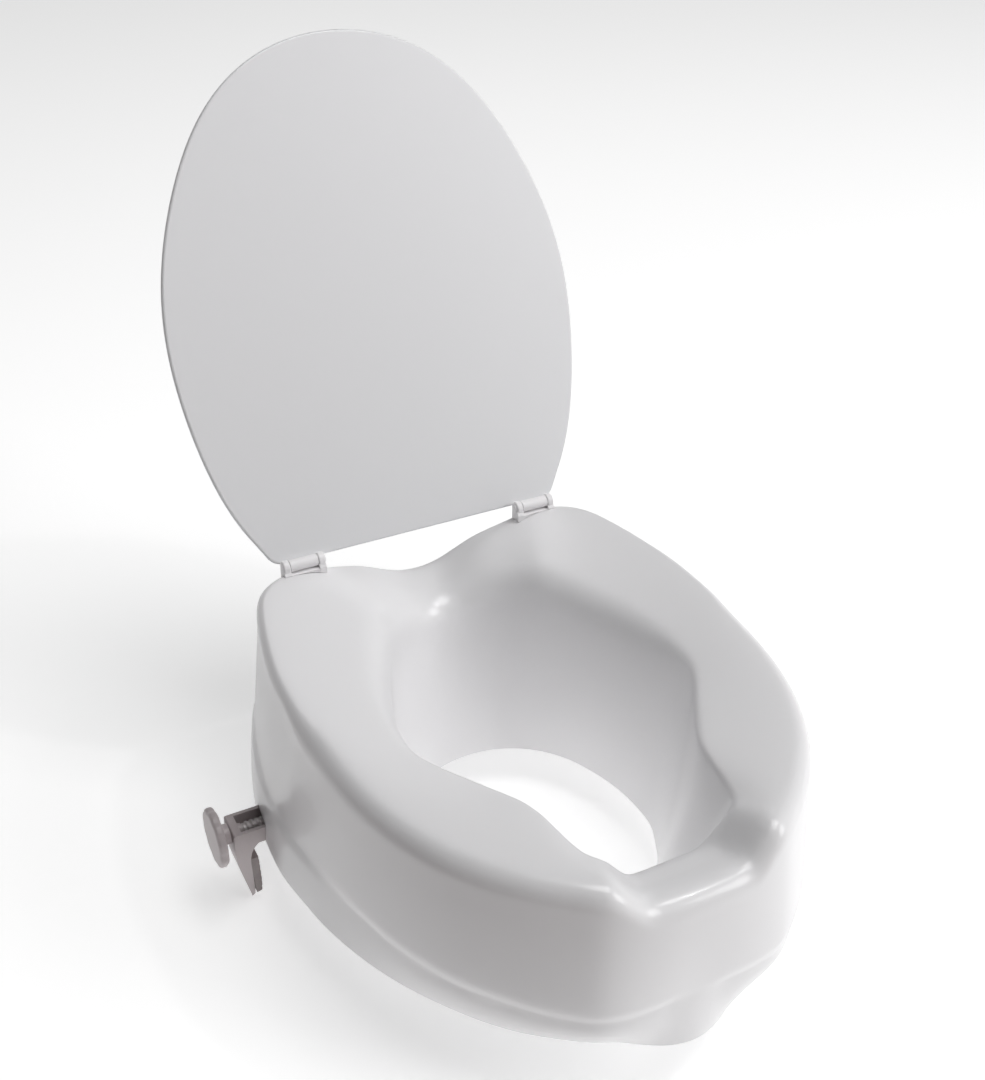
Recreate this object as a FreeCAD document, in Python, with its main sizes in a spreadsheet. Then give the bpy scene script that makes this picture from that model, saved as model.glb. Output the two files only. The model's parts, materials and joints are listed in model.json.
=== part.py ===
import FreeCAD, Part
import Sketcher
import os, math
from FreeCAD import Vector, Rotation, Placement

# Raised toilet seat with hinged lid and two screw-operated side clamps.
# Frame: +Z up, -Y front of the seat, +X the right-hand side seen from the front.
# Origin: centre of the aperture, in the plane where the skirt rests on the bowl.

os.makedirs("parts", exist_ok=True)
doc = FreeCAD.newDocument("raised_toilet_seat")

# ---------------------------------------------------------------- driving sizes
sheet = doc.addObject("Spreadsheet::Sheet", "dims")
CELLS = [
    ("seat_height", 148.5), ("wall", 3.6), ("top_round", 15.0), ("inner_round", 8.0),
    ("top_fall", 7.0), ("ledge_level", 44.0), ("funnel_low", -22.0),
    ("front_dip", 20.0), ("rear_dip", 36.5),
    ("hinge_spacing", 208.6), ("hinge_back", 223.3), ("hinge_level", 153.8),
    ("lid_tilt", 23.0), ("lid_thick", 5.0), ("lid_offset", 7.0), ("lid_reach", 191.0),
    ("pin_radius", 2.3), ("pin_gap", 0.06), ("knuckle_radius", 4.9), ("knuckle_width", 23.0),
    ("ear_width", 5.6), ("ear_radius", 5.5), ("foot_front", 6.5), ("foot_back", 4.5),
    ("stud_radius", 2.5), ("stud_len", 16.0), ("nut_across", 8.4), ("nut_thick", 5.0),
    ("clamp_back", 110.0), ("clamp_level", 7.6),
    ("screw_radius", 5.0), ("screw_pitch", 4.0), ("screw_in", 128.0), ("thread_depth", 1.0),
    ("knob_radius", 23.4), ("knob_thick", 7.0), ("knob_face", 229.6), ("hub_radius", 8.0), ("hub_len", 6.3),
    ("channel_width", 25.0), ("channel_top", 14.0), ("channel_floor", 0.4), ("channel_wall", 3.0),
    ("channel_out", 215.5), ("channel_in", 146.0), ("floor_thick", 2.0),
    ("jaw_drop", 62.0), ("pad_width", 20.0), ("pad_thick", 6.5),
    ("guide_gap", 0.35), ("guide_wall", 3.2), ("guide_in", 140.0), ("clamp_travel", 24.0),
    ("block_in", 150.0), ("block_len", 11.0), ("block_width", 15.0),
]
D = {}
for row, (alias, value) in enumerate(CELLS, 1):
    sheet.set("A%d" % row, alias)
    sheet.set("B%d" % row, str(value))
    sheet.setAlias("B%d" % row, alias)
    D[alias] = value
doc.recompute()

def cell(alias):
    return float(sheet.get(alias))

# ---------------------------------------------------------------- shape helpers
def curve(table, a):
    """Smooth cubic through (angle, value) pairs, level at both ends."""
    xs = [p[0] for p in table]
    ys = [p[1] for p in table]
    n = len(xs)
    if a <= xs[0]:
        return ys[0]
    if a >= xs[-1]:
        return ys[-1]
    m = [0.0] * n
    for i in range(1, n - 1):
        m[i] = ((ys[i + 1] - ys[i]) / (xs[i + 1] - xs[i]) * (xs[i] - xs[i - 1])
                + (ys[i] - ys[i - 1]) / (xs[i] - xs[i - 1]) * (xs[i + 1] - xs[i])) / (xs[i + 1] - xs[i - 1])
    k = 0
    while a > xs[k + 1]:
        k += 1
    w = xs[k + 1] - xs[k]
    u = (a - xs[k]) / w
    return (ys[k] * (1 + 2 * u) * (1 - u) ** 2 + m[k] * w * u * (1 - u) ** 2
            + ys[k + 1] * u * u * (3 - 2 * u) + m[k + 1] * w * u * u * (u - 1))

def ease(x, a, b):
    u = min(1.0, max(0.0, (x - a) / (b - a)))
    return u * u * (3 - 2 * u)

# plan outlines as radius against angle from the front, degrees
UPPER = [(0, 194.5), (8, 195), (15, 195.6), (20, 195), (27, 190), (38, 184), (50, 179.5), (64, 175.2),
         (79, 173.2), (90, 174.6), (98, 178), (105, 183.6), (114.4, 192.6), (120, 201.5), (125, 210),
         (132, 223.8), (137, 236), (141, 247), (144, 254.8), (147, 259), (150, 258.6), (154, 255.2), (160, 249.2),
         (166, 244.3), (173, 240), (180, 238.5)]
FLARE = [(0, 0.05), (10, 0.09), (20, 0.13), (28, 0.13), (38, 0.105), (48, 0.09), (62, 0.07), (80, 0.065), (95, 0.07), (114, 0.13), (125, 0.13),
         (145, 0.115), (180, 0.08)]
# how far the foot stands inside the wall line, and the height of the rolled rear edge against distance from the middle
FOOT = [(0, 1.5), (5, 6.5), (10, 16.5), (19, 31.5), (27, 30), (36, 24.5), (51, 20), (65, 13), (72, 9.5), (84, 3.5), (95, -2),
        (105, -3), (120, -2.6), (131, -3.6), (140, -2), (150, 0), (180, 0)]
REAR = [(0, 112), (12, 112.6), (22, 116), (31, 120.2), (41, 125.5), (50, 130), (60, 133.6), (69, 135.8), (79, 138.7),
        (89, 142), (100, 146), (112, 148.3), (125, 148.5)]
INNER = [(0, 139), (6, 139.8), (11, 142.2), (15, 146.5), (18, 150), (20.5, 150), (23, 145), (26, 134.5), (29, 125.2), (33, 115), (40, 104.5),
         (47, 100.5), (55, 98.5), (62, 98.7), (70, 101), (76, 104.2), (84, 108.5), (92, 110.5), (100, 110.8),
         (108, 111.8), (118, 113.8), (126, 117.5), (134, 123.5), (142, 132), (150, 144), (158, 157.5), (165, 170),
         (172, 179), (180, 183)]
LIP = [(0, 23), (9, 23), (14, 17), (19, 10), (24, 8), (60, 8), (88, 9), (101, 14), (119, 23), (132, 28), (150, 30), (180, 30)]
OUTLET = [(0, 89), (15, 88.4), (30, 86.6), (40, 85), (50, 84), (58, 84.6), (66, 86.8),
          (76, 89), (90, 95), (100, 97.5), (115, 103.5), (130, 112), (145, 124), (160, 133.5), (172, 137.5), (180, 138)]

H = cell("seat_height")

def section(a):
    """Rows (radius, height) from the outer foot over the crest to the funnel outlet, at angle a (0..180)."""
    ru = curve(UPPER, a)
    ra = curve(INNER, a)
    rf = curve(OUTLET, a)
    foot = curve(FOOT, a)
    fl = curve(FLARE, a)
    x = ru * math.sin(math.radians(a))
    if a < 90:
        top = H - cell("front_dip") * (1 - ease(x, 35, 67))
    else:
        top = H - (H - curve(REAR, x)) * cell("rear_dip") / 36.5
    width = ru - ra
    r1 = min(cell("top_round") * (1 - 0.42 * ease(a, 98, 114)), 0.45 * width)
    r2 = min(cell("inner_round") * curve(LIP, a) / 8.0, 0.42 * width)
    zl = cell("ledge_level")
    rows = []
    def upper(z):
        return ru + fl * (130 - z) if z < 130 else ru
    def wall(z):
        u = upper(z)
        if foot <= 0:
            return u - foot * ease(zl + 3 - z, 0, 9) * (1 - 0.4 * ease(20 - z, 0, 20))
        lip = min(4.0, 0.5 * foot)
        below = max(0.0, zl - 1 - z) / (zl - 1)
        return u - lip * ease(zl + 11 - z, 0, 12) - (foot - lip) * below ** 1.9
    for z in (0, 1.5, 5, 10, 15, 20, 25, 29, 33, 36.5, 40, 43, 46, 50, 56, 65, 76, 88):
        rows.append((wall(float(z)), float(z)))
    zc = top - r1
    for z in (0.36, 0.68, 0.88):
        zz = 88 + (zc - 88) * z
        rows.append((upper(zz), zz))
    rc = upper(zc)
    for t in (0, 16, 33, 50, 67, 82):
        tt = math.radians(t)
        rows.append((rc - r1 * (1 - math.cos(tt)), zc + r1 * math.sin(tt)))
    fall = cell("top_fall") * min(1.0, width / 55.0)
    x0, z0 = rc - r1 - 0.6, top + 0.05
    x1, z1 = ra + r2, top - fall
    for s in (0.14, 0.3, 0.5, 0.7, 0.86):
        rows.append((x0 + (x1 - x0) * s, z0 + (z1 - z0) * (0.55 * s + 0.45 * s * s)))
    drop = z1 - r2
    for t in (80, 62, 44, 26, 10):
        tt = math.radians(t)
        rows.append((ra + r2 * (1 - math.cos(tt)), drop + r2 * math.sin(tt) - 0.0))
    zf = cell("funnel_low")
    steep = 0.7 - 0.35 * ease(a, 46, 82)
    for s in (0.06, 0.16, 0.28, 0.42, 0.56, 0.7, 0.82, 0.91, 0.97, 1.0):
        z = drop + (zf - drop) * s
        rows.append((ra + (rf - ra) * (steep * s + (1 - steep) * s * s), z))
    return rows

def angles():
    half = [0, 3]
    a = 6.0
    while a < 36:
        half.append(a)
        a += 2.0
    n = 41
    half += [36 + 144.0 * i / n for i in range(n + 1)]
    return half + [360 - v for v in reversed(half[1:-1])]

def outer_grid():
    grid = []
    for a in angles():
        f = a if a <= 180 else 360 - a
        rows = section(f)
        s, c = math.sin(math.radians(a)), math.cos(math.radians(a))
        grid.append([Vector(r * s, -r * c, z) for r, z in rows])
    return grid

def offset_grid(grid, dist):
    """Grid moved into the hollow by dist along the surface normal; first and last rows stay level."""
    n, m = len(grid), len(grid[0])
    out = []
    for i in range(n):
        col = []
        for j in range(m):
            du = grid[(i + 1) % n][j] - grid[i - 1][j]
            dv = grid[i][min(m - 1, j + 1)] - grid[i][max(0, j - 1)]
            nn = du.cross(dv)
            nn.normalize()
            p = grid[i][j] - nn * dist
            if j == 0 or j == m - 1:
                flat = Vector(nn.x, nn.y, 0)
                flat.normalize()
                p = grid[i][j] - flat * dist
            col.append(p)
        out.append(col)
    return out

def skin(grid):
    n, m = len(grid), len(grid[0])
    s = Part.BSplineSurface()
    vk = list(range(m - 2))
    vm = [4] + [1] * (m - 4) + [4]
    s.buildFromPolesMultsKnots(grid, [1] * (n + 1), vm, list(range(n + 1)), vk, True, False, 3, 3)
    return s

def ring_face(e1, e2):
    w1, w2 = Part.Wire([e1]), Part.Wire([e2])
    big, small = (w1, w2) if w1.BoundBox.DiagonalLength > w2.BoundBox.DiagonalLength else (w2, w1)
    f = Part.Face([big, small])
    if not f.isValid():
        f.fix(1e-4, 1e-4, 1e-4)
    return f

def edge_at(surface, last):
    v = surface.bounds()[3] if last else surface.bounds()[2]
    return surface.vIso(v).toShape()

def seat_solid():
    g = outer_grid()
    gi = offset_grid(g, cell("wall"))
    so, si = skin(g), skin(gi)
    fo, fi = so.toShape(), si.toShape()
    f0 = ring_face(edge_at(so, False), edge_at(si, False))
    f1 = ring_face(edge_at(so, True), edge_at(si, True))
    sh = Part.makeShell([fo, fi, f0, f1])
    sh.sewShape()
    sh.fix(1e-3, 1e-3, 1e-3)
    sol = Part.makeSolid(sh)
    if sol.Volume < 0:
        sol.reverse()
    return sol

# ---------------------------------------------------------------- feature helpers
def bound(obj, **links):
    for prop, expr in links.items():
        obj.setExpression(prop.replace("__", "."), expr)
    return obj

def new_body(label):
    b = doc.addObject("PartDesign::Body", label)
    b.Label = label
    return b

def new_sketch(body, name, plane, geometry, offset=0.0):
    sk = body.newObject("Sketcher::SketchObject", name)
    for f in body.Origin.OriginFeatures:
        if f.Role == plane:
            sk.AttachmentSupport = [(f, "")]
    sk.MapMode = "FlatFace"
    sk.AttachmentOffset = Placement(Vector(0, 0, offset), Rotation())
    for g in geometry:
        sk.addGeometry(g, False)
    return sk

def closed(points):
    v = [Vector(p[0], p[1], 0) for p in points]
    return [Part.LineSegment(v[i], v[(i + 1) % len(v)]) for i in range(len(v))]

def smooth(points):
    c = Part.BSplineCurve()
    c.interpolate([Vector(p[0], p[1], 0) for p in points])
    return c

def line(a, b):
    return Part.LineSegment(Vector(a[0], a[1], 0), Vector(b[0], b[1], 0))

def circle(x, y, r):
    return Part.Circle(Vector(x, y, 0), Vector(0, 0, 1), r)

def pad(body, name, sk, length, both=False, back=False):
    f = body.newObject("PartDesign::Pad", name)
    f.Profile = sk
    f.Length = 5
    f.setExpression("Length", length)
    if both:
        f.SideType = "Symmetric"
    f.Reversed = back
    sk.Visibility = False
    return f

def pocket(body, name, sk, length, both=False, back=False):
    f = body.newObject("PartDesign::Pocket", name)
    f.Profile = sk
    f.Length = 5
    f.setExpression("Length", length)
    if both:
        f.SideType = "Symmetric"
    f.Reversed = back
    sk.Visibility = False
    return f

def round_edges(body, name, base, pick, radius):
    doc.recompute()
    names = []
    for i, e in enumerate(base.Shape.Edges, 1):
        if pick(e):
            names.append("Edge%d" % i)
    if not names:
        return base
    f = body.newObject("PartDesign::Fillet", name)
    f.Base = (base, names)
    f.Radius = radius
    doc.recompute()
    if f.Shape.isNull() or not f.isValid():
        body.removeObject(f)
        doc.removeObject(f.Name)
        body.Tip = base
        doc.recompute()
        return base
    return f

NODES = []

def keep(obj, label=None):
    if label:
        obj.Label = label
    NODES.append(obj)
    return obj

def part_feature(label, shape):
    o = doc.addObject("Part::Feature", label)
    o.Label = label
    o.Shape = shape
    NODES.append(o)
    return o

def biggest(shape):
    return sorted(shape.Solids, key=lambda q: q.Volume)[-1]

def x_hits(shape, y, z):
    """Where a line along X at (y, z) passes through the wall on the right-hand side."""
    for nudge in (0, 0.13, -0.17, 0.31, -0.37):
        cut = shape.common(Part.makeLine(Vector(120, y + nudge, z + abs(nudge)), Vector(320, y + nudge, z + abs(nudge))))
        xs = [v.X for v in cut.Vertexes]
        if xs:
            return min(xs), max(xs)
    raise ValueError("no wall at y %g z %g" % (y, z))

def z_hits(shape, x, y):
    for nudge in (0, 0.13, -0.17, 0.31, -0.37):
        cut = shape.common(Part.makeLine(Vector(x + nudge, y, 70), Vector(x + nudge, y, 200)))
        zs = [v.Z for v in cut.Vertexes]
        if zs:
            return min(zs), max(zs)
    raise ValueError("no wall at x %g y %g" % (x, y))

def swept_block(grid, direction):
    """Solid swept from a smooth patch through a grid of points."""
    patch = Part.BSplineSurface()
    patch.interpolate(grid)
    return patch.toShape().extrude(direction)

# ---------------------------------------------------------------- seat shell
shell = seat_solid()
HX = cell("hinge_spacing") / 2
HY, HZ = cell("hinge_back"), cell("hinge_level")
STUD_Y = HY - 3.3
CY, CZ = cell("clamp_back"), cell("clamp_level")
seat = shell
for sx in (-1, 1):
    seat = seat.cut(Part.makeCylinder(cell("stud_radius") + 0.25, 60, Vector(sx * HX, STUD_Y, 115)))
    half = cell("channel_width") / 2 + cell("guide_gap")
    seat = seat.cut(Part.makeBox(60, 2 * half, 30 + CZ + 8.4, Vector(sx * 190 - 30, CY - half, -30)))
seat = biggest(seat)
wall_in, wall_out = x_hits(shell, CY, CZ)
under, over = z_hits(shell, HX, STUD_Y)
print("skirt wall at clamp", wall_in, wall_out, "top wall at hinge stud", under, over)
def top_height(x, y):
    """Height of the seat's rolled top at (x, y), from its section rows."""
    a = abs(math.degrees(math.atan2(x, -y)))
    r = math.hypot(x, y)
    rows = section(a)[21:]
    for (r0, z0), (r1, z1) in zip(rows, rows[1:]):
        if r1 <= r <= r0:
            return z0 + (z1 - z0) * (r0 - r) / (r0 - r1)
    return rows[0][1]

# seat surface under a hinge foot, and skirt inner face behind a clamp guide, right-hand side
foot_grid = [[Vector(HX - 24 + 8 * i, HY - 18 + 4.5 * j, top_height(HX - 24 + 8 * i, HY - 18 + 4.5 * j) + 0.03)
              for j in range(7)] for i in range(7)]
skirt_grid = [[Vector(x_hits(shell, CY - 21 + 7 * i, 0.3 + 6.2 * j)[0] - 0.05, CY - 21 + 7 * i, 0.3 + 6.2 * j)
               for j in range(5)] for i in range(7)]
for column in skirt_grid:
    column.insert(0, Vector(column[0].x + 0.4, column[0].y, -6))

def mirrored(grid, sx):
    return [[Vector(sx * p.x, p.y, p.z) for p in column] for column in grid]
part_feature("seat_body", seat)

# ---------------------------------------------------------------- lid
T = cell("lid_tilt")
LID = [197.756, -16.712, 27.153, -0.139, 0.447, 1.389, -1.552, 0.164, -0.245]
LID_BOTTOM = 1.2

def lid_outline():
    """Half outline (x, s) from the top centre down to the hinge edge; s is measured up the lid from the hinge axis."""
    pts = []
    for i in range(0, 181, 3):
        a = math.radians(i)
        r = sum(c * math.cos(k * a) for k, c in enumerate(LID))
        pts.append((r * math.sin(a), cell("lid_reach") + 0.6 + r * math.cos(a)))
    return [p for p in pts if p[1] > LID_BOTTOM + 16]

half = lid_outline()
last = half[-1]
prev = half[-2]
dirx, dirs = last[0] - prev[0], last[1] - prev[1]
k = (LID_BOTTOM - last[1]) / dirs
corner = (last[0] + dirx * k, LID_BOTTOM)
body = new_body("lid_panel")
back = [(-x, s) for x, s in reversed(half[1:])]
geo = [smooth(back + half), line(last, corner), line(corner, (-corner[0], corner[1])),
       line((-corner[0], corner[1]), (-last[0], last[1]))]
sk = new_sketch(body, "lid_outline", "XY_Plane", geo)
base = pad(body, "lid_plate", sk, "dims.lid_thick", back=True)
doc.recompute()
base = round_edges(body, "lid_corners", base,
                   lambda e: abs(e.BoundBox.ZLength - cell("lid_thick")) < 0.01 and abs(abs(e.CenterOfMass.x) - corner[0]) < 1
                   and abs(e.CenterOfMass.y - LID_BOTTOM) < 0.5, 14.0)
base = round_edges(body, "lid_rounding", base,
                   lambda e: e.BoundBox.ZLength < 0.01, 1.9)
tilt_rot = Rotation(Vector(1, 0, 0), 90 - T)

def lid_place(x=0, s=0, n=0):
    """Placement of a part drawn in the lid frame: X across, Y up the lid, Z out of its front face."""
    return Placement(Vector(0, HY, HZ) + tilt_rot.multVec(Vector(x, s, n)), tilt_rot)

body.Placement = lid_place(0, 0, -cell("lid_offset"))
body.setExpression("Placement.Base.z", "dims.hinge_level - dims.lid_offset * sin(dims.lid_tilt * 1deg)")
body.setExpression("Placement.Base.y", "dims.hinge_back + dims.lid_offset * cos(dims.lid_tilt * 1deg)")
keep(body)

# ---------------------------------------------------------------- hinges
KW, KR = cell("knuckle_width"), cell("knuckle_radius")
EW = cell("ear_width")
LT, LO = cell("lid_thick"), cell("lid_offset")
for sx, side in ((-1, "left"), (1, "right")):
    # leaf: knuckle, web under the lid edge, plate up the back of the lid
    body = new_body("hinge_leaf_" + side)
    rear = -(LO + LT)
    prof = [line((0.9, -3.0), (0.9, rear - 0.05)), line((0.9, rear - 0.05), (27.0, rear - 0.05)),
            line((27.0, rear - 0.05), (27.0, rear - 2.3)), line((27.0, rear - 2.3), (-3.1, rear - 2.3)),
            line((-3.1, rear - 2.3), (-3.1, -3.0)), line((-3.1, -3.0), (0.9, -3.0))]
    sk = new_sketch(body, "leaf_profile_" + side, "YZ_Plane", prof)
    base = pad(body, "leaf_plate_" + side, sk, "dims.knuckle_width", both=True)
    sk = new_sketch(body, "knuckle_circle_" + side, "YZ_Plane", [circle(0, 0, KR)])
    base = pad(body, "knuckle_" + side, sk, "dims.knuckle_width", both=True)
    sk = new_sketch(body, "knuckle_bore_" + side, "YZ_Plane", [circle(0, 0, cell("pin_radius") + cell("pin_gap"))])
    base = pocket(body, "knuckle_hole_" + side, sk, "dims.knuckle_width * 2", both=True)
    holes = [circle(-6.5, 17.0, 1.75), circle(6.5, 17.0, 1.75)]
    sk = new_sketch(body, "leaf_holes_" + side, "XY_Plane", holes, rear + 1)
    base = pocket(body, "leaf_screw_holes_" + side, sk, "dims.lid_thick")
    doc.recompute()
    base = round_edges(body, "leaf_round_" + side, base,
                       lambda e: abs(e.BoundBox.ZLength - 2.25) < 0.05 and e.BoundBox.XLength < 0.01
                       and e.CenterOfMass.y > 26, 4.0)
    body.Placement = lid_place(sx * HX, 0, 0)
    bound(body, Placement__Base__x="%s * dims.hinge_spacing / 2" % sx)
    keep(body)

    # seat-side bracket: two ears on a foot that follows the seat surface, with a stud through the seat
    ER, FF, FB = cell("ear_radius"), cell("foot_front"), cell("foot_back")
    arc = Part.Arc(Vector(0, ER, 0), Vector(0, 0, ER), Vector(0, -ER, 0)).toShape()
    corners = [Vector(0, -ER, 0), Vector(0, -ER, -2.6), Vector(0, -FF - 0.4, -4.6), Vector(0, -FF - 0.4, -16), Vector(0, FB + 1.2, -16), Vector(0, ER, 0)]
    rim = [arc] + [Part.makeLine(corners[q], corners[q + 1]) for q in range(len(corners) - 1)]
    block = Part.Face(Part.Wire(rim)).extrude(Vector(EW, 0, 0))
    x0 = KW / 2 + 0.35
    block = block.makeFillet(1.2, [e for e in block.Edges if e.Curve.TypeId == "Part::GeomCircle"])
    ears = block.copy()
    ears.translate(Vector(x0, 0, 0))
    other = block.copy()
    other.translate(Vector(-x0 - EW, 0, 0))
    bar = Part.makeBox(2 * x0 + 2, FF + 3.4, 10.0, Vector(-x0 - 1, -FF, -10.0 - KR - 0.35))
    clevis = ears.fuse([other, bar])
    clevis = clevis.removeSplitter()
    pinhole = Part.makeCylinder(cell("pin_radius"), 80, Vector(-40, 0, 0), Vector(1, 0, 0))
    clevis = clevis.cut(pinhole)
    clevis.translate(Vector(sx * HX, HY, HZ))
    clevis = biggest(clevis.cut(swept_block(mirrored(foot_grid, sx), Vector(0, 0, -60))))
    low = under - cell("stud_len") + 6
    stud = Part.makeCylinder(cell("stud_radius"), HZ - KR - 0.9 - low, Vector(sx * HX, STUD_Y, low))
    clevis = clevis.fuse(stud).removeSplitter()
    part_feature("hinge_bracket_" + side, clevis)

    # pin with low domed ends
    length = 2 * (KW / 2 + 0.35 + EW)
    pin = doc.addObject("Part::Cylinder", "pin_shank_" + side)
    bound(pin, Radius="dims.pin_radius", Height="dims.knuckle_width + 2 * dims.ear_width + 0.7")
    head = doc.addObject("Part::Cylinder", "pin_head_" + side)
    bound(head, Radius="dims.pin_radius + 1.1", Height="0.9")
    head.Placement = Placement(Vector(0, 0, -0.9), Rotation())
    whole = doc.addObject("Part::Fuse", "hinge_pin_" + side)
    whole.Base, whole.Tool = pin, head
    doc.recompute()
    turn = Rotation(Vector(0, 1, 0), 90) if sx > 0 else Rotation(Vector(0, 1, 0), -90)
    # head on the side facing the middle of the seat
    whole.Placement = Placement(Vector(sx * (HX - length / 2), HY, HZ), turn)
    keep(whole, "hinge_pin_" + side)

    # nut under the seat top
    body = new_body("hinge_nut_" + side)
    rr = cell("nut_across") / 2 / math.cos(math.radians(30))
    hexa = [(rr * math.cos(math.radians(60 * i)), rr * math.sin(math.radians(60 * i))) for i in range(6)]
    sk = new_sketch(body, "nut_hex_" + side, "XY_Plane", closed(hexa) + [circle(0, 0, cell("stud_radius"))])
    base = pad(body, "nut_solid_" + side, sk, "dims.nut_thick")
    sk = new_sketch(body, "nut_flange_" + side, "XY_Plane", [circle(0, 0, rr + 0.75), circle(0, 0, cell("stud_radius"))], cell("nut_thick") - 1.3)
    base = pad(body, "nut_washer_" + side, sk, "dims.nut_thick * 0.26")
    body.Placement = Placement(Vector(sx * HX, STUD_Y, under - cell("nut_thick") - 2.8), Rotation())
    bound(body, Placement__Base__x="%s * dims.hinge_spacing / 2" % sx)
    keep(body)

# screws holding both leaves to the lid
screws = []
for sx in (-1, 1):
    for dx in (-6.5, 6.5):
        rear = -(LO + LT) - 2.3
        sh = Part.makeCylinder(1.7, 5.2, Vector(sx * HX + dx, 17.0, rear - 0.02))
        hd = Part.makeCylinder(3.3, 1.5, Vector(sx * HX + dx, 17.0, rear - 1.5))
        hd = hd.makeFillet(0.9, [e for e in hd.Edges if abs(e.CenterOfMass.z - (rear - 1.5)) < 0.01 and e.Closed])
        slot_a = Part.makeBox(3.6, 0.7, 0.8, Vector(sx * HX + dx - 1.8, 16.65, rear - 1.5))
        slot_b = Part.makeBox(0.7, 3.6, 0.8, Vector(sx * HX + dx - 0.35, 15.2, rear - 1.5))
        screws.append(hd.fuse(sh).cut(slot_a).cut(slot_b).removeSplitter())
obj = part_feature("hinge_leaf_screws", Part.makeCompound(screws))
obj.Placement = lid_place()
# matching holes in the lid
lid_body = [o for o in NODES if o.Label == "lid_panel"][0]
pts = [circle(sx * HX + dx, 17.0, 1.7) for sx in (-1, 1) for dx in (-6.5, 6.5)]
sk = new_sketch(lid_body, "lid_screw_holes", "XY_Plane", pts, -cell("lid_thick") - 0.5)
hole = pocket(lid_body, "lid_blind_holes", sk, "3.5", back=True)
doc.recompute()

# ---------------------------------------------------------------- side clamps
CW = cell("channel_width")
CO, CI = cell("channel_out"), cell("channel_in")
CT, CF = cell("channel_top"), cell("channel_floor")
JD = cell("jaw_drop")
SR = cell("screw_radius")
for sx, side in ((-1, "left"), (1, "right")):
    m = (lambda pts: [(sx * a, b) for a, b in pts])
    # bracket: open-topped channel, end wall and hanging jaw
    outer = [(CO, CT), (CO + 0.1, 2), (CO - 0.6, -12), (CO - 3.4, -28), (CO - 7.2, -44), (CO - 9.8, -55), (CO - 11.4, -JD)]
    inner = [(CO - 13.8, -JD + 3.0), (CO - 13.4, -50), (CO - 12.4, -38), (CO - 11.4, -24), (CO - 11.4, -13), (CO - 13.2, -6.2), (CO - 19, CF)]
    body = new_body("clamp_bracket_" + side)
    sk = new_sketch(body, "bracket_side_" + side, "XZ_Plane",
                    [smooth(m(outer)), line(m([outer[-1]])[0], m([inner[0]])[0]), smooth(m(inner)),
                     line(m([inner[-1]])[0], m([(CI, CF)])[0]), line(m([(CI, CF)])[0], m([(CI, CT)])[0]),
                     line(m([(CI, CT)])[0], m([outer[0]])[0])])
    base = pad(body, "bracket_block_" + side, sk, "dims.channel_width", both=True)
    # trough of the channel, open upward and at the inner end
    hw = CW / 2 - cell("channel_wall")
    sk = new_sketch(body, "trough_plan_" + side, "XY_Plane",
                    closed(m([(CI - 5, -hw), (CO - 6.5, -hw), (CO - 6.5, hw), (CI - 5, hw)])), CT + 2)
    base = pocket(body, "trough_" + side, sk, "dims.channel_top + 2 - dims.channel_floor - dims.floor_thick")
    # taper of the jaw seen along the screw
    tap = 30.0
    wedge_a = [(CW / 2 + 1, -6), (CW / 2, -6), (CW / 2 - 1.2, -26), (CW / 2 - 4.5, -46), (4.2, -JD), (3.0, -JD - 2), (CW / 2 + 1, -JD - 2)]
    wedge_b = [(-a, b) for a, b in wedge_a]
    sk = new_sketch(body, "jaw_taper_" + side, "YZ_Plane",
                    [smooth(wedge_a[1:5]), line(wedge_a[4], wedge_a[5]), line(wedge_a[5], wedge_a[6]), line(wedge_a[6], wedge_a[0]), line(wedge_a[0], wedge_a[1]),
                     smooth(wedge_b[1:5]), line(wedge_b[4], wedge_b[5]), line(wedge_b[5], wedge_b[6]), line(wedge_b[6], wedge_b[0]), line(wedge_b[0], wedge_b[1])])
    base = pocket(body, "jaw_sides_" + side, sk, "dims.channel_out * 3", both=True)
    sk = new_sketch(body, "screw_eye_" + side, "YZ_Plane", [circle(0, CZ, SR - cell("thread_depth") + 0.06)])
    base = pocket(body, "screw_hole_" + side, sk, "dims.channel_out * 3", both=True)
    doc.recompute()
    base = round_edges(body, "bracket_soft_" + side, base,
                       lambda e: abs(e.CenterOfMass.x - sx * CO) < 1.0 and abs(e.BoundBox.ZLength) < 0.1 and abs(e.CenterOfMass.z - CT) < 0.1, 1.6)
    body.Placement = Placement(Vector(0, CY, 0), Rotation())
    bound(body, Placement__Base__y="dims.clamp_back")
    keep(body)

    # pad on the inner face of the jaw
    face = [(CO - 13.9, -53.5), (CO - 13.25, -45), (CO - 12.65, -38), (CO - 12.05, -30), (CO - 11.75, -24), (CO - 11.75, -17)]
    front = [(CO - 13.9 - 4.2, -52.5), (CO - 18.6, -45), (CO - 18.6, -38), (CO - 18.3, -30), (CO - 18.1, -24), (CO - 17.6, -16.2)]
    body = new_body("clamp_pad_" + side)
    sk = new_sketch(body, "pad_side_" + side, "XZ_Plane",
                    [smooth(m(face)), line(m([face[-1]])[0], m([front[-1]])[0]), smooth(m(front)), line(m([front[0]])[0], m([face[0]])[0])])
    base = pad(body, "pad_block_" + side, sk, "dims.pad_width", both=True)
    # grip grooves across the working face
    gr = []
    for i in range(6):
        z = -49.5 + i * 6.0
        gr += closed(m([(CO - 24, z), (CO - 24, z + 1.6), (CO - 17.7 + (0.4 if z > -34 else -0.1), z + 1.6), (CO - 17.7 + (0.4 if z > -34 else -0.1), z)]))
    sk = new_sketch(body, "pad_grooves_" + side, "XZ_Plane", gr)
    base = pocket(body, "pad_grip_" + side, sk, "dims.pad_width * 2", both=True)
    body.Placement = Placement(Vector(0, CY, 0), Rotation())
    bound(body, Placement__Base__y="dims.clamp_back")
    keep(body)

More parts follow.
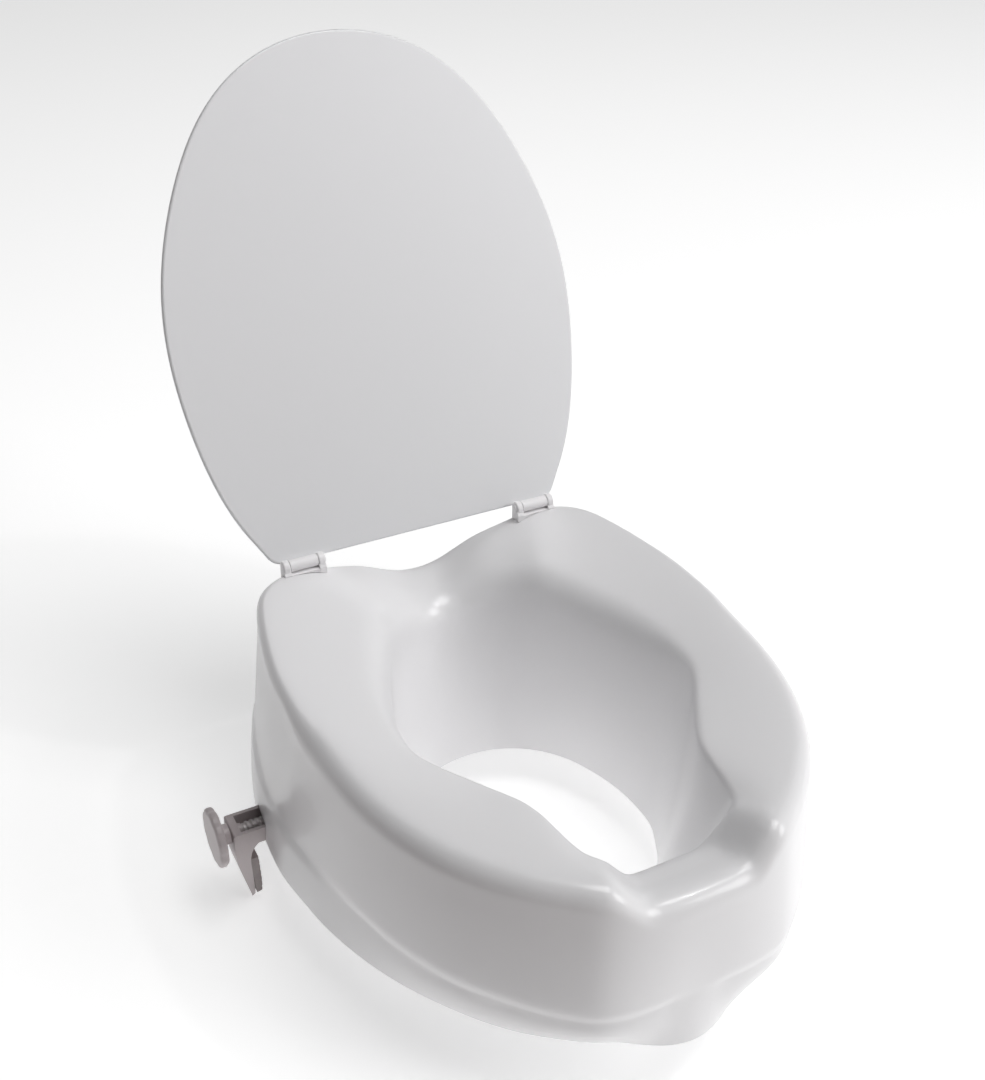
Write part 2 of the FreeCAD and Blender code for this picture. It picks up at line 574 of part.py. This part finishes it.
    # screw: plain neck through the end wall, ridged length in the channel
    ring = SR - cell("thread_depth")
    k0, k1 = cell("knob_face") - cell("knob_thick") + 1.0, cell("screw_in")
    rows = [(k0, 0), (k0, ring)]
    u = CO - 9.6
    rows.append((u, ring))
    p = cell("screw_pitch")
    while u - p > k1 + 2:
        rows += [(u - 0.28 * p, SR), (u - 0.52 * p, SR), (u - 0.8 * p, ring), (u - p, ring)]
        u -= p
    rows += [(k1 + 0.8, ring), (k1, ring - 0.8), (k1, 0)]
    body = new_body("clamp_screw_" + side)
    clean = [rows[0]]
    for q in rows[1:]:
        if abs(q[0] - clean[-1][0]) + abs(q[1] - clean[-1][1]) > 1e-6:
            clean.append(q)
    sk = new_sketch(body, "screw_profile_" + side, "XZ_Plane", closed(m(clean)))
    rev = body.newObject("PartDesign::Revolution", "screw_turned_" + side)
    rev.Profile = sk
    rev.ReferenceAxis = (sk, ["H_Axis"])
    rev.Angle = 360
    body.Placement = Placement(Vector(0, CY, CZ), Rotation())
    bound(body, Placement__Base__y="dims.clamp_back", Placement__Base__z="dims.clamp_level")
    keep(body)

    # retaining collar inside the end wall
    ring_o = doc.addObject("Part::Cylinder", "collar_outer_" + side)
    bound(ring_o, Radius="dims.screw_radius", Height="2.4")
    ring_i = doc.addObject("Part::Cylinder", "collar_inner_" + side)
    bound(ring_i, Radius="dims.screw_radius - dims.thread_depth", Height="6")
    ring_i.Placement = Placement(Vector(0, 0, -2), Rotation())
    cut = doc.addObject("Part::Cut", "clamp_collar_" + side)
    cut.Base, cut.Tool = ring_o, ring_i
    cut.Placement = Placement(Vector(sx * (CO - 6.5 - 0.4), CY, CZ), Rotation(Vector(0, 1, 0), -90 * sx))
    keep(cut, "clamp_collar_" + side)

    # knob with a scalloped rim and a hub
    body = new_body("clamp_knob_" + side)
    KNR = cell("knob_radius")
    lobes = 10
    rim = []
    n = lobes * 12
    for i in range(n):
        a = 2 * math.pi * i / n
        dent = 1.15 * (0.5 - 0.5 * math.cos(lobes * a)) ** 2
        rim.append(((KNR - dent) * math.cos(a), (KNR - dent) * math.sin(a)))
    c = Part.BSplineCurve()
    c.interpolate([Vector(a, b, 0) for a, b in rim], PeriodicFlag=True)
    sk = new_sketch(body, "knob_rim_" + side, "XY_Plane", [c])
    base = pad(body, "knob_disc_" + side, sk, "dims.knob_thick")
    base = round_edges(body, "knob_soft_" + side, base, lambda e: e.BoundBox.ZLength < 0.01, 2.6)
    sk = new_sketch(body, "hub_circle_" + side, "XY_Plane", [circle(0, 0, cell("hub_radius"))], 0.5)
    base = pad(body, "knob_hub_" + side, sk, "dims.hub_len + 0.5", back=True)
    sk = new_sketch(body, "socket_circle_" + side, "XY_Plane", [circle(0, 0, ring)], 1.0)
    base = pocket(body, "knob_socket_" + side, sk, "dims.hub_len + 4")
    turn = Rotation(Vector(0, 1, 0), 90 * sx)
    body.Placement = Placement(Vector(sx * (cell("knob_face") - cell("knob_thick")), CY, CZ), turn)
    bound(body, Placement__Base__y="dims.clamp_back", Placement__Base__z="dims.clamp_level")
    keep(body)

    # guide fixed inside the skirt, straddling the channel
    gi = cell("guide_in")
    gap, gw = cell("guide_gap"), cell("guide_wall")
    yo = CW / 2 + gap + gw
    outer_box = Part.makeBox(wall_out - gi + 6, 2 * yo, CT + gap + gw - 0.4, Vector(min(sx * gi, sx * (wall_out + 6)), CY - yo, 0.4))
    inner_box = Part.makeBox(wall_out - gi + 20, 2 * (yo - gw), CT + gap + 10, Vector(min(sx * (gi - 10), sx * (wall_out + 10)), CY - yo + gw, -10))
    guide = outer_box.cut(inner_box)
    guide = biggest(guide.cut(swept_block(mirrored(skirt_grid, sx), Vector(sx * 60, 0, 0))))
    part_feature("clamp_guide_" + side, guide)

    # threaded block hanging from the guide into the channel
    bi, bl, bw = cell("block_in"), cell("block_len"), cell("block_width")
    blk = Part.makeBox(bl, bw, CT + gap - (CF + cell("floor_thick") + 0.5), Vector(min(sx * bi, sx * (bi + bl)), CY - bw / 2, CF + cell("floor_thick") + 0.5))
    bore = Part.makeCylinder(SR + 0.08, 400, Vector(-sx * 0 + (0 if sx > 0 else -400), CY, CZ), Vector(1, 0, 0))
    blk = blk.cut(bore)
    part_feature("clamp_nut_" + side, blk)

doc.recompute()

# ---------------------------------------------------------------- check and export
bad = 0
for o in doc.Objects:
    if "Invalid" in o.State or "Error" in o.State:
        print("BAD", o.Label, o.State)
        bad += 1
for o in NODES:
    if o.Shape.isNull() or not o.Shape.isValid() or o.Shape.Volume <= 0:
        print("BAD SHAPE", o.Label, o.Shape.isNull(), None if o.Shape.isNull() else (o.Shape.isValid(), o.Shape.Volume))
        bad += 1
        continue
    o.Shape.exportStep("parts/%s.step" % o.Label)
    bb = o.Shape.BoundBox
    print("%-22s V=%9.0f  n=%d  x %.1f..%.1f y %.1f..%.1f z %.1f..%.1f" % (o.Label, o.Shape.Volume, len(o.Shape.Solids),
          bb.XMin, bb.XMax, bb.YMin, bb.YMax, bb.ZMin, bb.ZMax))
print("nodes", len(NODES), "problems", bad)
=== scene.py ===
import json, math
import bpy, bmesh
import numpy as np
from mathutils import Matrix, Vector


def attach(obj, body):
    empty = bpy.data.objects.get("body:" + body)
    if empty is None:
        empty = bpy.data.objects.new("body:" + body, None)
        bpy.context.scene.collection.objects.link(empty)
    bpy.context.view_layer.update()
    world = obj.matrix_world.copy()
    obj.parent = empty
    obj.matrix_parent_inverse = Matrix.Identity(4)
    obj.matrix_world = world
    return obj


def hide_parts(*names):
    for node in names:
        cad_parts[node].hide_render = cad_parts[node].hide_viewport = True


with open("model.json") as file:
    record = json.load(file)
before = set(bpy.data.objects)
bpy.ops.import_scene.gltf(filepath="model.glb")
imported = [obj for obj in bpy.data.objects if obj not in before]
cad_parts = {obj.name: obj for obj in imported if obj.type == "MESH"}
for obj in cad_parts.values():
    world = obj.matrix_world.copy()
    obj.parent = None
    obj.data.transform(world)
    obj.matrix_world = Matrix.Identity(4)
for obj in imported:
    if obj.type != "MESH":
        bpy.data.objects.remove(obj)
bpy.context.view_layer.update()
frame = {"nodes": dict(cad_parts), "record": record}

NODES = frame["nodes"]
scene = bpy.context.scene

# ------------------------------------------------------------------ materials
def new_material(name):
    m = bpy.data.materials.new(name)
    m.use_nodes = True
    nt = m.node_tree
    for n in list(nt.nodes):
        nt.nodes.remove(n)
    out = nt.nodes.new("ShaderNodeOutputMaterial")
    bs = nt.nodes.new("ShaderNodeBsdfPrincipled")
    nt.links.new(bs.outputs["BSDF"], out.inputs["Surface"])
    return m, nt, bs

def moulded_plastic(name, low, high, rough, rough_span, coat=0.0, scale=9.0, bump=0.02, bump_scale=60.0, sss=0.0):
    """Moulded plastic: faint cloudiness in colour, uneven gloss, very shallow surface waviness."""
    m, nt, bs = new_material(name)
    geo = nt.nodes.new("ShaderNodeTexCoord")
    cloud = nt.nodes.new("ShaderNodeTexNoise")
    cloud.inputs["Scale"].default_value = scale
    cloud.inputs["Detail"].default_value = 1.0
    nt.links.new(geo.outputs["Object"], cloud.inputs["Vector"])
    ramp = nt.nodes.new("ShaderNodeValToRGB")
    ramp.color_ramp.interpolation = "EASE"
    ramp.color_ramp.elements[0].position = 0.0
    ramp.color_ramp.elements[1].position = 1.0
    ramp.color_ramp.elements[0].color = (*low, 1)
    ramp.color_ramp.elements[1].color = (*high, 1)
    nt.links.new(cloud.outputs["Fac"], ramp.inputs["Fac"])
    nt.links.new(ramp.outputs["Color"], bs.inputs["Base Color"])
    fine = nt.nodes.new("ShaderNodeTexNoise")
    fine.inputs["Scale"].default_value = scale * 3.1
    fine.inputs["Detail"].default_value = 1.5
    nt.links.new(geo.outputs["Object"], fine.inputs["Vector"])
    rr = nt.nodes.new("ShaderNodeMapRange")
    rr.inputs["From Min"].default_value = 0.0
    rr.inputs["From Max"].default_value = 1.0
    rr.inputs["To Min"].default_value = rough - rough_span
    rr.inputs["To Max"].default_value = rough + rough_span
    nt.links.new(fine.outputs["Fac"], rr.inputs["Value"])
    nt.links.new(rr.outputs["Result"], bs.inputs["Roughness"])
    wave = nt.nodes.new("ShaderNodeTexNoise")
    wave.inputs["Scale"].default_value = bump_scale
    wave.inputs["Detail"].default_value = 2.0
    nt.links.new(geo.outputs["Object"], wave.inputs["Vector"])
    bp = nt.nodes.new("ShaderNodeBump")
    bp.inputs["Strength"].default_value = bump
    bp.inputs["Distance"].default_value = 0.002
    nt.links.new(wave.outputs["Fac"], bp.inputs["Height"])
    nt.links.new(bp.outputs["Normal"], bs.inputs["Normal"])
    bs.inputs["IOR"].default_value = 1.5
    bs.inputs["Coat Weight"].default_value = coat
    bs.inputs["Coat Roughness"].default_value = 0.06
    if sss > 0:
        bs.inputs["Subsurface Weight"].default_value = sss
        bs.inputs["Subsurface Radius"].default_value = (0.004, 0.0035, 0.003)
        bs.inputs["Subsurface Scale"].default_value = 1.0
    return m

seat_mat = moulded_plastic("seat_plastic", (0.842, 0.835, 0.846), (0.866, 0.859, 0.870), 0.305, 0.02, coat=0.25, scale=4.0, bump=0.008, bump_scale=40)
lid_mat = moulded_plastic("lid_plastic", (0.805, 0.805, 0.819), (0.818, 0.818, 0.832), 0.34, 0.02, coat=0.08, scale=3.0, bump=0.006, bump_scale=30)
hinge_mat = moulded_plastic("hinge_plastic", (0.88, 0.865, 0.875), (0.90, 0.885, 0.895), 0.40, 0.03, scale=40, bump_scale=300)
clamp_mat = moulded_plastic("clamp_plastic", (0.52, 0.465, 0.47), (0.58, 0.525, 0.53), 0.42, 0.04, scale=25, bump=0.05, bump_scale=300)
pad_mat = moulded_plastic("pad_rubber", (0.29, 0.255, 0.255), (0.36, 0.32, 0.315), 0.8, 0.05, scale=60, bump=0.15, bump_scale=500)
steel_mat = moulded_plastic("screw_steel", (0.60, 0.56, 0.56), (0.68, 0.64, 0.64), 0.36, 0.05, scale=90, bump=0.05, bump_scale=600)
for n in steel_mat.node_tree.nodes:
    if n.type == "BSDF_PRINCIPLED":
        n.inputs["Metallic"].default_value = 0.35
SLOTS = {"seat_plastic": seat_mat, "lid_plastic": lid_mat, "hinge_plastic": hinge_mat, "clamp_plastic": clamp_mat,
         "pad_rubber": pad_mat, "screw_steel": steel_mat}
for sub in frame["record"]["subparts"]:
    o = NODES[sub["node"]]
    o.data.materials.clear()
    o.data.materials.append(SLOTS[sub["material_slot"]])

# ------------------------------------------------------------------ clamp screws with a true helical thread
def thread_height(f):
    """Trapezoid ridge over one pitch: rise, crest, fall, root."""
    if f < 0.28:
        return f / 0.28
    if f < 0.52:
        return 1.0
    if f < 0.80:
        return (0.80 - f) / 0.28
    return 0.0

def clamp_screw(side, sx):
    """Right-hand screw along X through the channel: chamfered tip, threaded length, plain neck."""
    pitch, root, crest, y0, z0 = 0.004, 0.004, 0.001, 0.110, 0.0076
    tip, last, neck = 0.128, 0.2054, 0.2236
    turn = 48
    xs = [tip, tip + 0.0008]
    x = tip + 0.0011
    while x < last:
        xs.append(x)
        x += 0.00033
    xs += [last, neck]
    bm = bmesh.new()
    rings = []
    for i, x in enumerate(xs):
        fade = max(0.0, min(1.0, (x - tip - 0.0008) / 0.003, (last - x) / 0.003))
        ring = []
        for k in range(turn):
            th = 2 * math.pi * k / turn
            f = (sx * x / pitch - th / (2 * math.pi)) % 1.0
            r = root - 0.0008 if i == 0 else root + crest * fade * thread_height(f)
            ring.append(bm.verts.new((sx * x, y0 + r * math.cos(th), z0 + r * math.sin(th))))
        rings.append(ring)
    for a, b in zip(rings, rings[1:]):
        for k in range(turn):
            q = (a[k], a[(k + 1) % turn], b[(k + 1) % turn], b[k])
            bm.faces.new(q)
    bm.faces.new(list(reversed(rings[0])))
    bm.faces.new(rings[-1])
    bmesh.ops.recalc_face_normals(bm, faces=bm.faces)
    me = bpy.data.meshes.new("screw_thread_" + side)
    bm.to_mesh(me)
    bm.free()
    for p in me.polygons:
        p.use_smooth = len(p.vertices) == 4
    me.materials.append(steel_mat)
    o = bpy.data.objects.new("screw_thread_" + side, me)
    scene.collection.objects.link(o)
    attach(o, "spindle_" + side)
    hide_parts("clamp_screw_" + side)
    return o

clamp_screw("left", -1)
clamp_screw("right", 1)

# ------------------------------------------------------------------ floor
me = bpy.data.meshes.new("floor")
s = 6.0
me.from_pydata([(-s, -s, -0.0625), (s, -s, -0.0625), (s, s, -0.0625), (-s, s, -0.0625)], [], [(0, 1, 2, 3)])
floor = bpy.data.objects.new("floor", me)
scene.collection.objects.link(floor)
fm, nt, bs = new_material("floor_white")
geo = nt.nodes.new("ShaderNodeTexCoord")
cl = nt.nodes.new("ShaderNodeTexNoise")
cl.inputs["Scale"].default_value = 1.5
nt.links.new(geo.outputs["Object"], cl.inputs["Vector"])
ramp = nt.nodes.new("ShaderNodeValToRGB")
ramp.color_ramp.elements[0].color = (0.78, 0.78, 0.78, 1)
ramp.color_ramp.elements[1].color = (0.80, 0.80, 0.80, 1)
nt.links.new(cl.outputs["Fac"], ramp.inputs["Fac"])
nt.links.new(ramp.outputs["Color"], bs.inputs["Base Color"])
bs.inputs["Roughness"].default_value = 0.9
bs.inputs["Specular IOR Level"].default_value = 0.1
bs.inputs["Emission Color"].default_value = (1.0, 1.0, 1.0, 1)
# painted light: the floor glows on its own (emission) and lights the object like a lamp; the glow fades out
# toward the near left, beyond the framed area, painting shade onto the object's left side
sep = nt.nodes.new("ShaderNodeSeparateXYZ")
nt.links.new(geo.outputs["Object"], sep.inputs["Vector"])
ahead = nt.nodes.new("ShaderNodeMath")
ahead.operation = "MULTIPLY_ADD"
ahead.inputs[1].default_value = -0.74
nt.links.new(sep.outputs["X"], ahead.inputs[0])
side = nt.nodes.new("ShaderNodeMath")
side.operation = "MULTIPLY"
side.inputs[1].default_value = -0.67
nt.links.new(sep.outputs["Y"], side.inputs[0])
nt.links.new(side.outputs["Value"], ahead.inputs[2])
painted_floor_glow = nt.nodes.new("ShaderNodeMapRange")
painted_floor_glow.interpolation_type = "SMOOTHSTEP"
painted_floor_glow.inputs["From Min"].default_value = 0.28
painted_floor_glow.inputs["From Max"].default_value = 0.62
painted_floor_glow.inputs["To Min"].default_value = 0.54
painted_floor_glow.inputs["To Max"].default_value = 0.10
nt.links.new(ahead.outputs["Value"], painted_floor_glow.inputs["Value"])
nt.links.new(painted_floor_glow.outputs["Result"], bs.inputs["Emission Strength"])
# painted warm shade: the near-left floor is tinted reddish grey so its bounce warms the shaded left side of the
# object
painted_warm_shade_mask = nt.nodes.new("ShaderNodeMapRange")
painted_warm_shade_mask.interpolation_type = "SMOOTHSTEP"
painted_warm_shade_mask.inputs["From Min"].default_value = 0.28
painted_warm_shade_mask.inputs["From Max"].default_value = 0.62
nt.links.new(ahead.outputs["Value"], painted_warm_shade_mask.inputs["Value"])
painted_warm_shade_mix = nt.nodes.new("ShaderNodeMix")
painted_warm_shade_mix.data_type = "RGBA"
col_a, painted_warm_shade_socket = [q for q in painted_warm_shade_mix.inputs if q.type == "RGBA"]
painted_warm_shade_socket.default_value = (0.62, 0.55, 0.54, 1)
nt.links.new(painted_warm_shade_mask.outputs["Result"], painted_warm_shade_mix.inputs[0])
nt.links.new(ramp.outputs["Color"], col_a)
nt.links.new([q for q in painted_warm_shade_mix.outputs if q.type == "RGBA"][0], bs.inputs["Base Color"])
me.materials.append(fm)

# ------------------------------------------------------------------ light
world = bpy.data.worlds.new("studio")
scene.world = world
world.use_nodes = True
bg = world.node_tree.nodes["Background"]
bg.inputs["Color"].default_value = (1.0, 1.0, 1.0, 1)
wt = world.node_tree
sky = wt.nodes.new("ShaderNodeTexCoord")
axis = wt.nodes.new("ShaderNodeSeparateXYZ")
wt.links.new(sky.outputs["Generated"], axis.inputs["Vector"])
# pale band low over the floor, fading out overhead and towards the near left
band = wt.nodes.new("ShaderNodeMapRange")
band.interpolation_type = "SMOOTHSTEP"
band.inputs["From Min"].default_value = 0.10
band.inputs["From Max"].default_value = 0.50
band.inputs["To Min"].default_value = 0.60
band.inputs["To Max"].default_value = 0.04
wt.links.new(axis.outputs["Z"], band.inputs["Value"])
turn = wt.nodes.new("ShaderNodeMath")
turn.operation = "MULTIPLY_ADD"
turn.inputs[1].default_value = 0.55
wt.links.new(axis.outputs["X"], turn.inputs[0])
far = wt.nodes.new("ShaderNodeMath")
far.operation = "MULTIPLY"
far.inputs[1].default_value = 0.83
wt.links.new(axis.outputs["Y"], far.inputs[0])
wt.links.new(far.outputs["Value"], turn.inputs[2])
side_fall = wt.nodes.new("ShaderNodeMapRange")
side_fall.interpolation_type = "SMOOTHSTEP"
side_fall.inputs["From Min"].default_value = -0.35
side_fall.inputs["From Max"].default_value = 0.35
side_fall.inputs["To Min"].default_value = 0.12
side_fall.inputs["To Max"].default_value = 1.0
wt.links.new(turn.outputs["Value"], side_fall.inputs["Value"])
level = wt.nodes.new("ShaderNodeMath")
level.operation = "MULTIPLY"
wt.links.new(band.outputs["Result"], level.inputs[0])
wt.links.new(side_fall.outputs["Result"], level.inputs[1])
wt.links.new(level.outputs["Value"], bg.inputs["Strength"])

def area(name, loc, aim, size, power, color=(1, 1, 1), size_y=None):
    d = bpy.data.lights.new(name, "AREA")
    d.shape = "RECTANGLE" if size_y else "SQUARE"
    d.size = size
    if size_y:
        d.size_y = size_y
    d.energy = power
    d.color = color
    o = bpy.data.objects.new(name, d)
    o.location = loc
    o.rotation_euler = (Vector(aim) - Vector(loc)).to_track_quat("-Z", "Y").to_euler()
    scene.collection.objects.link(o)
    return o

area("key", (3.8, -3.3, 3.3), (0, 0, 0.1), 2.8, 128)
area("top", (0.7, -0.7, 4.3), (0, 0, 0.1), 2.4, 88)
area("spark", (1.0, -0.6, 2.2), (0, 0, 0.1), 0.1, 4)

# ------------------------------------------------------------------ camera
AZ, EL, ROLL, DIST, FOC, U0, V0 = -31.446413633794567, 40.99701130616452, 3.218395169750865, 1014.2952001856171, 1381.2808730538895, 552.6061124834964, 743.1563025945255
a, e, r = (math.radians(q) for q in (AZ, EL, ROLL))
back = np.array([math.sin(a) * math.cos(e), -math.cos(a) * math.cos(e), math.sin(e)])
right = np.array([math.cos(a), math.sin(a), 0.0])
up = np.cross(back, right)
R2 = math.cos(r) * right + math.sin(r) * up
U2 = -math.sin(r) * right + math.cos(r) * up
centre = np.array([0, 0, 100.0]) + back * DIST
t = np.array([(U0 - 492.5) / FOC, -(V0 - 540.0) / FOC, 1.0])
t /= np.linalg.norm(t)
z = np.array([0, 0, 1.0])
ax = np.cross(t, z)
sn, cs = np.linalg.norm(ax), float(t @ z)
k = ax / sn
K = np.array([[0, -k[2], k[1]], [k[2], 0, -k[0]], [-k[1], k[0], 0]])
th = math.atan2(sn, cs)
Rm = np.eye(3) + math.sin(th) * K + (1 - math.cos(th)) * K @ K
B = Rm.T @ np.stack([R2, U2, -back])
scene.view_settings.view_transform = "Standard"
cam_data = bpy.data.cameras.new("camera")
cam_data.sensor_fit = "AUTO"
cam_data.sensor_width = 36.0
cam_data.lens = FOC / 1080.0 * 36.0
cam_data.clip_start = 0.05
cam_data.clip_end = 50
cam = bpy.data.objects.new("camera", cam_data)
M = Matrix.Identity(4)
for i in range(3):
    M[i][0], M[i][1], M[i][2] = B[0][i], B[1][i], -B[2][i]
    M[i][3] = centre[i] / 1000.0
cam.matrix_world = M
scene.collection.objects.link(cam)
scene.camera = cam
